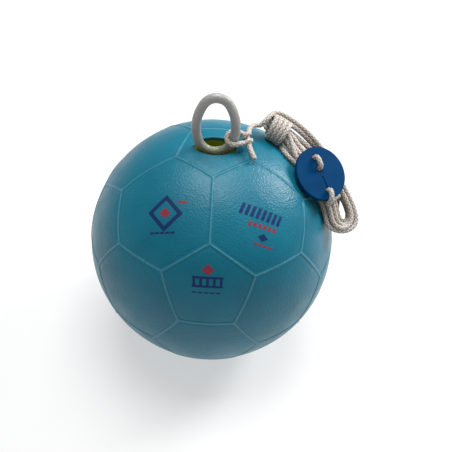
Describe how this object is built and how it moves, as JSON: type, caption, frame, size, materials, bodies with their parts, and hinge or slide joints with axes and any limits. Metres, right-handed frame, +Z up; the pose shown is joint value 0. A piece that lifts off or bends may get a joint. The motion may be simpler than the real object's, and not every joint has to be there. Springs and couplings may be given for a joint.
{
  "type": "tetherball set",
  "caption": "Hollow PVC play ball with a ring rocking in a well at its top, a long cord knotted to the ring and wound in a hank, and a sliding disc that adjusts the cord.",
  "frame": {"origin": "on the ground plane, under the middle of the ball", "axes": "+Z up through the ring and the middle of the ball, +X towards the side where the hank lies, -Y the front, which the flat side of the ring faces"},
  "size_m": [0.2369, 0.22, 0.2683],
  "materials": {
    "ball_pvc": "satin, fine pebble grain",
    "inner_pvc": "smooth",
    "cup_pvc": "satin",
    "pin_steel": "plain",
    "valve_rubber": "matte",
    "seal_rubber": "matte",
    "ring_pvc": "translucent, milky",
    "cord": "twisted strands",
    "disc_plastic": "satin"
  },
  "bodies": {
    "ball": {"ball_skin": "ball_pvc", "bladder": "inner_pvc", "anchor_cup": "cup_pvc", "anchor_pin": "pin_steel", "valve_housing": "valve_rubber", "valve_seal": "seal_rubber", "rope_lead": "cord", "rope_hank": "cord", "rope_end_knot": "cord"},
    "ring": {"ring": "ring_pvc", "rope_ring_loop": "cord", "rope_knot": "cord", "rope_tail": "cord"},
    "disc": {"cord_disc": "disc_plastic", "rope_stitch": "cord", "rope_rim_bend": "cord"}
  },
  "joints": [
    {"name": "ring_tilt", "type": "hinge", "parent": "ball", "child": "ring", "pos_m": [0, 0, 0.2025], "axis": [1, 0, 0], "range_deg": [-12, 7], "deforming": ["rope_tail", "rope_lead"]},
    {"name": "disc_slide", "type": "slide", "parent": "ball", "child": "disc", "axis": [-0.415, 0.7144, 0.5634], "range_m": [-0.005, 0.005]}
  ]
}
